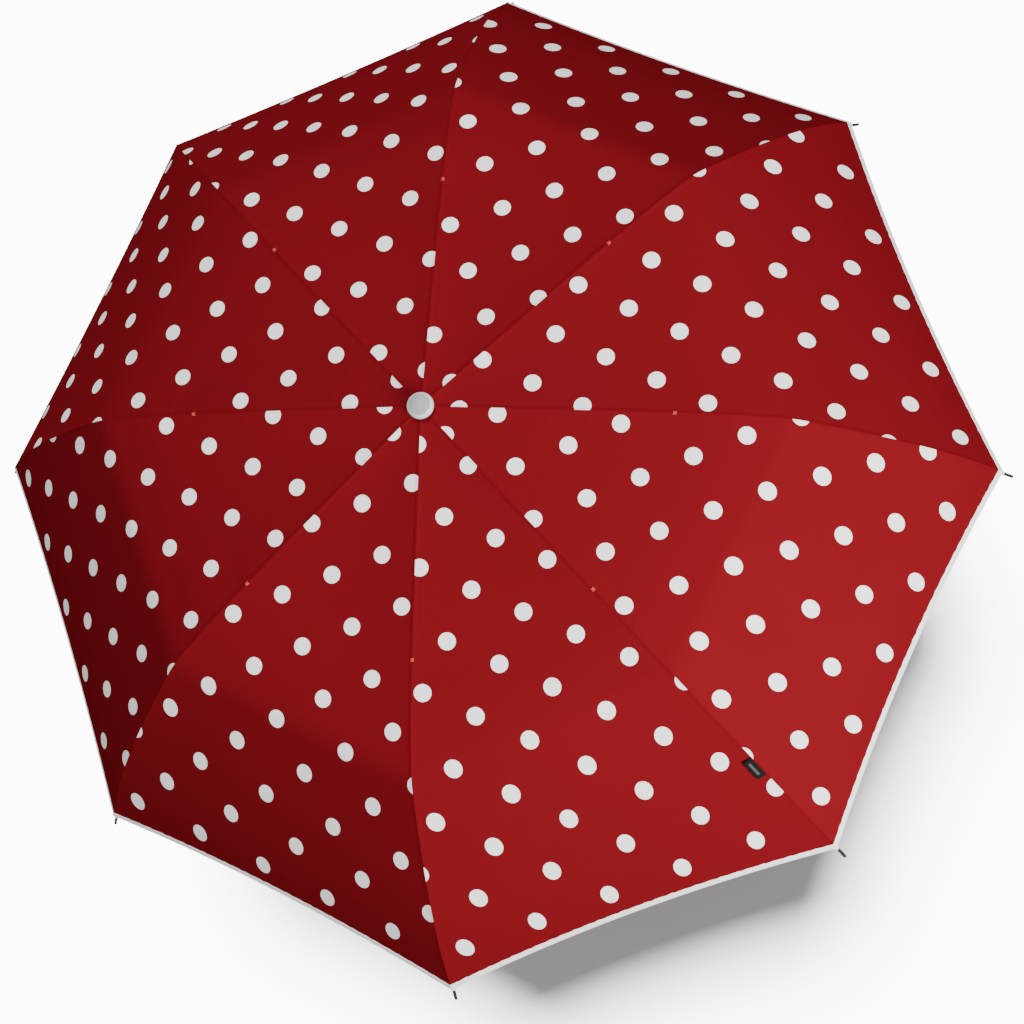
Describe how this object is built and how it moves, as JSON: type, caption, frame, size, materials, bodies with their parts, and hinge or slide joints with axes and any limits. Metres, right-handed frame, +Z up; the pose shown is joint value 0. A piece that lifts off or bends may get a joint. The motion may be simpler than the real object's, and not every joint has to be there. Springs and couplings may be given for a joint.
{
  "type": "children's folding umbrella",
  "caption": "Open folding umbrella: scalloped gored canopy on jointed folding ribs, sliding runner with stretchers, telescopic shaft and cup-topped handle.",
  "frame": {"origin": "centre of the handle's bottom face", "axes": "+Z up the shaft towards the canopy; +X out along rib 1; ribs numbered clockwise seen from above"},
  "size_m": [0.8774, 0.8774, 0.571],
  "materials": {
    "canopy_fabric": "tightly woven polyester, satin, with round pale dots",
    "frame_steel": "drawn and plated steel, satin",
    "tip_plastic": "moulded, fine matt",
    "frame_plastic": "moulded nylon, satin",
    "cap_plastic": "moulded, soft gloss",
    "handle_plastic": "moulded, soft gloss",
    "label_cloth": "woven tape, matt"
  },
  "bodies": {
    "handle": {"handle": "handle_plastic", "handle_end_cap": "handle_plastic", "tip_cup": "handle_plastic", "lower_tube": "frame_steel"},
    "middle_tube": {"middle_tube": "frame_steel"},
    "upper_tube": {"upper_tube": "frame_steel", "crown": "frame_plastic", "top_cap": "cap_plastic"},
    "runner": {"runner": "frame_plastic"},
    "runner_button": {"runner_button": "cap_plastic"},
    "inner_rib_1": {"inner_rib_1": "frame_steel", "canopy_panel_1": "canopy_fabric"},
    "stretcher_1": {"stretcher_1": "frame_steel"},
    "middle_rib_1": {"middle_rib_1": "frame_steel"},
    "outer_rib_1": {"outer_rib_1": "frame_steel", "rib_tip_1": "tip_plastic"},
    "inner_rib_2": {"inner_rib_2": "frame_steel", "canopy_panel_2": "canopy_fabric"},
    "stretcher_2": {"stretcher_2": "frame_steel"},
    "middle_rib_2": {"middle_rib_2": "frame_steel"},
    "outer_rib_2": {"outer_rib_2": "frame_steel", "rib_tip_2": "tip_plastic"},
    "inner_rib_3": {"inner_rib_3": "frame_steel", "canopy_panel_3": "canopy_fabric"},
    "stretcher_3": {"stretcher_3": "frame_steel"},
    "middle_rib_3": {"middle_rib_3": "frame_steel"},
    "outer_rib_3": {"outer_rib_3": "frame_steel", "rib_tip_3": "tip_plastic"},
    "inner_rib_4": {"inner_rib_4": "frame_steel", "canopy_panel_4": "canopy_fabric"},
    "stretcher_4": {"stretcher_4": "frame_steel"},
    "middle_rib_4": {"middle_rib_4": "frame_steel"},
    "outer_rib_4": {"outer_rib_4": "frame_steel", "rib_tip_4": "tip_plastic", "label_tab": "label_cloth"},
    "inner_rib_5": {"inner_rib_5": "frame_steel", "canopy_panel_5": "canopy_fabric"},
    "stretcher_5": {"stretcher_5": "frame_steel"},
    "middle_rib_5": {"middle_rib_5": "frame_steel"},
    "outer_rib_5": {"outer_rib_5": "frame_steel", "rib_tip_5": "tip_plastic"},
    "inner_rib_6": {"inner_rib_6": "frame_steel", "canopy_panel_6": "canopy_fabric"},
    "stretcher_6": {"stretcher_6": "frame_steel"},
    "middle_rib_6": {"middle_rib_6": "frame_steel"},
    "outer_rib_6": {"outer_rib_6": "frame_steel", "rib_tip_6": "tip_plastic", "tie_strap": "canopy_fabric"},
    "inner_rib_7": {"inner_rib_7": "frame_steel", "canopy_panel_7": "canopy_fabric"},
    "stretcher_7": {"stretcher_7": "frame_steel"},
    "middle_rib_7": {"middle_rib_7": "frame_steel"},
    "outer_rib_7": {"outer_rib_7": "frame_steel", "rib_tip_7": "tip_plastic"},
    "inner_rib_8": {"inner_rib_8": "frame_steel", "canopy_panel_8": "canopy_fabric"},
    "stretcher_8": {"stretcher_8": "frame_steel"},
    "middle_rib_8": {"middle_rib_8": "frame_steel"},
    "outer_rib_8": {"outer_rib_8": "frame_steel", "rib_tip_8": "tip_plastic"}
  },
  "joints": [
    {"name": "shaft_lower_slide", "type": "slide", "parent": "handle", "child": "middle_tube", "axis": [0, 0, -1], "range_m": [0, 0.127]},
    {"name": "shaft_upper_slide", "type": "slide", "parent": "middle_tube", "child": "upper_tube", "axis": [0, 0, -1], "range_m": [0, 0.127]},
    {"name": "runner_slide", "type": "slide", "parent": "upper_tube", "child": "runner", "axis": [0, 0, -1], "range_m": [0, 0.1183], "deforming": ["canopy_panel_1", "canopy_panel_2", "canopy_panel_3", "canopy_panel_4", "canopy_panel_5", "canopy_panel_6", "canopy_panel_7", "canopy_panel_8", "tie_strap"]},
    {"name": "runner_button_press", "type": "slide", "parent": "runner", "child": "runner_button", "axis": [-0.9239, -0.3827, 0], "range_m": [0, 0.0015], "stiffness_N_per_m": 500},
    {"name": "inner_fold_1", "type": "hinge", "parent": "upper_tube", "child": "inner_rib_1", "pos_m": [0.0095, 0, 0.5595], "axis": [0, 1, 0], "range_deg": [0, 82]},
    {"name": "stretcher_swing_1", "type": "hinge", "parent": "inner_rib_1", "child": "stretcher_1", "pos_m": [0.08877, 0, 0.54835], "axis": [0, 1, 0], "range_deg": [-145.5, 0]},
    {"name": "middle_fold_1", "type": "hinge", "parent": "inner_rib_1", "child": "middle_rib_1", "pos_m": [0.16684, 0, 0.54497], "axis": [0, 1, 0], "range_deg": [-185, 0]},
    {"name": "outer_fold_1", "type": "hinge", "parent": "middle_rib_1", "child": "outer_rib_1", "pos_m": [0.29105, 0, 0.50638], "axis": [0, 1, 0], "range_deg": [0, 148.6]},
    {"name": "inner_fold_2", "type": "hinge", "parent": "upper_tube", "child": "inner_rib_2", "pos_m": [0.00672, -0.00672, 0.5595], "axis": [0.7071, 0.7071, 0], "range_deg": [0, 82]},
    {"name": "stretcher_swing_2", "type": "hinge", "parent": "inner_rib_2", "child": "stretcher_2", "pos_m": [0.06277, -0.06277, 0.54835], "axis": [0.7071, 0.7071, 0], "range_deg": [-145.5, 0]},
    {"name": "middle_fold_2", "type": "hinge", "parent": "inner_rib_2", "child": "middle_rib_2", "pos_m": [0.11798, -0.11798, 0.54497], "axis": [0.7071, 0.7071, 0], "range_deg": [-185, 0]},
    {"name": "outer_fold_2", "type": "hinge", "parent": "middle_rib_2", "child": "outer_rib_2", "pos_m": [0.2058, -0.2058, 0.50638], "axis": [0.7071, 0.7071, 0], "range_deg": [0, 148.6]},
    {"name": "inner_fold_3", "type": "hinge", "parent": "upper_tube", "child": "inner_rib_3", "pos_m": [0, -0.0095, 0.5595], "axis": [1, 0, 0], "range_deg": [0, 82]},
    {"name": "stretcher_swing_3", "type": "hinge", "parent": "inner_rib_3", "child": "stretcher_3", "pos_m": [0, -0.08877, 0.54835], "axis": [1, 0, 0], "range_deg": [-145.5, 0]},
    {"name": "middle_fold_3", "type": "hinge", "parent": "inner_rib_3", "child": "middle_rib_3", "pos_m": [0, -0.16684, 0.54497], "axis": [1, 0, 0], "range_deg": [-185, 0]},
    {"name": "outer_fold_3", "type": "hinge", "parent": "middle_rib_3", "child": "outer_rib_3", "pos_m": [0, -0.29105, 0.50638], "axis": [1, 0, 0], "range_deg": [0, 148.6]},
    {"name": "inner_fold_4", "type": "hinge", "parent": "upper_tube", "child": "inner_rib_4", "pos_m": [-0.00672, -0.00672, 0.5595], "axis": [0.7071, -0.7071, 0], "range_deg": [0, 82]},
    {"name": "stretcher_swing_4", "type": "hinge", "parent": "inner_rib_4", "child": "stretcher_4", "pos_m": [-0.06277, -0.06277, 0.54835], "axis": [0.7071, -0.7071, 0], "range_deg": [-145.5, 0]},
    {"name": "middle_fold_4", "type": "hinge", "parent": "inner_rib_4", "child": "middle_rib_4", "pos_m": [-0.11798, -0.11798, 0.54497], "axis": [0.7071, -0.7071, 0], "range_deg": [-185, 0]},
    {"name": "outer_fold_4", "type": "hinge", "parent": "middle_rib_4", "child": "outer_rib_4", "pos_m": [-0.2058, -0.2058, 0.50638], "axis": [0.7071, -0.7071, 0], "range_deg": [0, 148.6]},
    {"name": "inner_fold_5", "type": "hinge", "parent": "upper_tube", "child": "inner_rib_5", "pos_m": [-0.0095, 0, 0.5595], "axis": [0, -1, 0], "range_deg": [0, 82]},
    {"name": "stretcher_swing_5", "type": "hinge", "parent": "inner_rib_5", "child": "stretcher_5", "pos_m": [-0.08877, 0, 0.54835], "axis": [0, -1, 0], "range_deg": [-145.5, 0]},
    {"name": "middle_fold_5", "type": "hinge", "parent": "inner_rib_5", "child": "middle_rib_5", "pos_m": [-0.16684, 0, 0.54497], "axis": [0, -1, 0], "range_deg": [-185, 0]},
    {"name": "outer_fold_5", "type": "hinge", "parent": "middle_rib_5", "child": "outer_rib_5", "pos_m": [-0.29105, 0, 0.50638], "axis": [0, -1, 0], "range_deg": [0, 148.6]},
    {"name": "inner_fold_6", "type": "hinge", "parent": "upper_tube", "child": "inner_rib_6", "pos_m": [-0.00672, 0.00672, 0.5595], "axis": [-0.7071, -0.7071, 0], "range_deg": [0, 82]},
    {"name": "stretcher_swing_6", "type": "hinge", "parent": "inner_rib_6", "child": "stretcher_6", "pos_m": [-0.06277, 0.06277, 0.54835], "axis": [-0.7071, -0.7071, 0], "range_deg": [-145.5, 0]},
    {"name": "middle_fold_6", "type": "hinge", "parent": "inner_rib_6", "child": "middle_rib_6", "pos_m": [-0.11798, 0.11798, 0.54497], "axis": [-0.7071, -0.7071, 0], "range_deg": [-185, 0]},
    {"name": "outer_fold_6", "type": "hinge", "parent": "middle_rib_6", "child": "outer_rib_6", "pos_m": [-0.2058, 0.2058, 0.50638], "axis": [-0.7071, -0.7071, 0], "range_deg": [0, 148.6]},
    {"name": "inner_fold_7", "type": "hinge", "parent": "upper_tube", "child": "inner_rib_7", "pos_m": [0, 0.0095, 0.5595], "axis": [-1, 0, 0], "range_deg": [0, 82]},
    {"name": "stretcher_swing_7", "type": "hinge", "parent": "inner_rib_7", "child": "stretcher_7", "pos_m": [0, 0.08877, 0.54835], "axis": [-1, 0, 0], "range_deg": [-145.5, 0]},
    {"name": "middle_fold_7", "type": "hinge", "parent": "inner_rib_7", "child": "middle_rib_7", "pos_m": [0, 0.16684, 0.54497], "axis": [-1, 0, 0], "range_deg": [-185, 0]},
    {"name": "outer_fold_7", "type": "hinge", "parent": "middle_rib_7", "child": "outer_rib_7", "pos_m": [0, 0.29105, 0.50638], "axis": [-1, 0, 0], "range_deg": [0, 148.6]},
    {"name": "inner_fold_8", "type": "hinge", "parent": "upper_tube", "child": "inner_rib_8", "pos_m": [0.00672, 0.00672, 0.5595], "axis": [-0.7071, 0.7071, 0], "range_deg": [0, 82]},
    {"name": "stretcher_swing_8", "type": "hinge", "parent": "inner_rib_8", "child": "stretcher_8", "pos_m": [0.06277, 0.06277, 0.54835], "axis": [-0.7071, 0.7071, 0], "range_deg": [-145.5, 0]},
    {"name": "middle_fold_8", "type": "hinge", "parent": "inner_rib_8", "child": "middle_rib_8", "pos_m": [0.11798, 0.11798, 0.54497], "axis": [-0.7071, 0.7071, 0], "range_deg": [-185, 0]},
    {"name": "outer_fold_8", "type": "hinge", "parent": "middle_rib_8", "child": "outer_rib_8", "pos_m": [0.2058, 0.2058, 0.50638], "axis": [-0.7071, 0.7071, 0], "range_deg": [0, 148.6]}
  ],
  "couplings": [
    {"joint": "inner_fold_1", "follows": "runner_slide", "rad_per_m": 12.024},
    {"joint": "stretcher_swing_1", "follows": "runner_slide", "rad_per_m": -21.384},
    {"joint": "middle_fold_1", "follows": "runner_slide", "rad_per_m": -27.22},
    {"joint": "outer_fold_1", "follows": "runner_slide", "rad_per_m": 21.85},
    {"joint": "inner_fold_2", "follows": "runner_slide", "rad_per_m": 12.024},
    {"joint": "stretcher_swing_2", "follows": "runner_slide", "rad_per_m": -21.384},
    {"joint": "middle_fold_2", "follows": "runner_slide", "rad_per_m": -27.22},
    {"joint": "outer_fold_2", "follows": "runner_slide", "rad_per_m": 21.85},
    {"joint": "inner_fold_3", "follows": "runner_slide", "rad_per_m": 12.024},
    {"joint": "stretcher_swing_3", "follows": "runner_slide", "rad_per_m": -21.384},
    {"joint": "middle_fold_3", "follows": "runner_slide", "rad_per_m": -27.22},
    {"joint": "outer_fold_3", "follows": "runner_slide", "rad_per_m": 21.85},
    {"joint": "inner_fold_4", "follows": "runner_slide", "rad_per_m": 12.024},
    {"joint": "stretcher_swing_4", "follows": "runner_slide", "rad_per_m": -21.384},
    {"joint": "middle_fold_4", "follows": "runner_slide", "rad_per_m": -27.22},
    {"joint": "outer_fold_4", "follows": "runner_slide", "rad_per_m": 21.85},
    {"joint": "inner_fold_5", "follows": "runner_slide", "rad_per_m": 12.024},
    {"joint": "stretcher_swing_5", "follows": "runner_slide", "rad_per_m": -21.384},
    {"joint": "middle_fold_5", "follows": "runner_slide", "rad_per_m": -27.22},
    {"joint": "outer_fold_5", "follows": "runner_slide", "rad_per_m": 21.85},
    {"joint": "inner_fold_6", "follows": "runner_slide", "rad_per_m": 12.024},
    {"joint": "stretcher_swing_6", "follows": "runner_slide", "rad_per_m": -21.384},
    {"joint": "middle_fold_6", "follows": "runner_slide", "rad_per_m": -27.22},
    {"joint": "outer_fold_6", "follows": "runner_slide", "rad_per_m": 21.85},
    {"joint": "inner_fold_7", "follows": "runner_slide", "rad_per_m": 12.024},
    {"joint": "stretcher_swing_7", "follows": "runner_slide", "rad_per_m": -21.384},
    {"joint": "middle_fold_7", "follows": "runner_slide", "rad_per_m": -27.22},
    {"joint": "outer_fold_7", "follows": "runner_slide", "rad_per_m": 21.85},
    {"joint": "inner_fold_8", "follows": "runner_slide", "rad_per_m": 12.024},
    {"joint": "stretcher_swing_8", "follows": "runner_slide", "rad_per_m": -21.384},
    {"joint": "middle_fold_8", "follows": "runner_slide", "rad_per_m": -27.22},
    {"joint": "outer_fold_8", "follows": "runner_slide", "rad_per_m": 21.85}
  ]
}
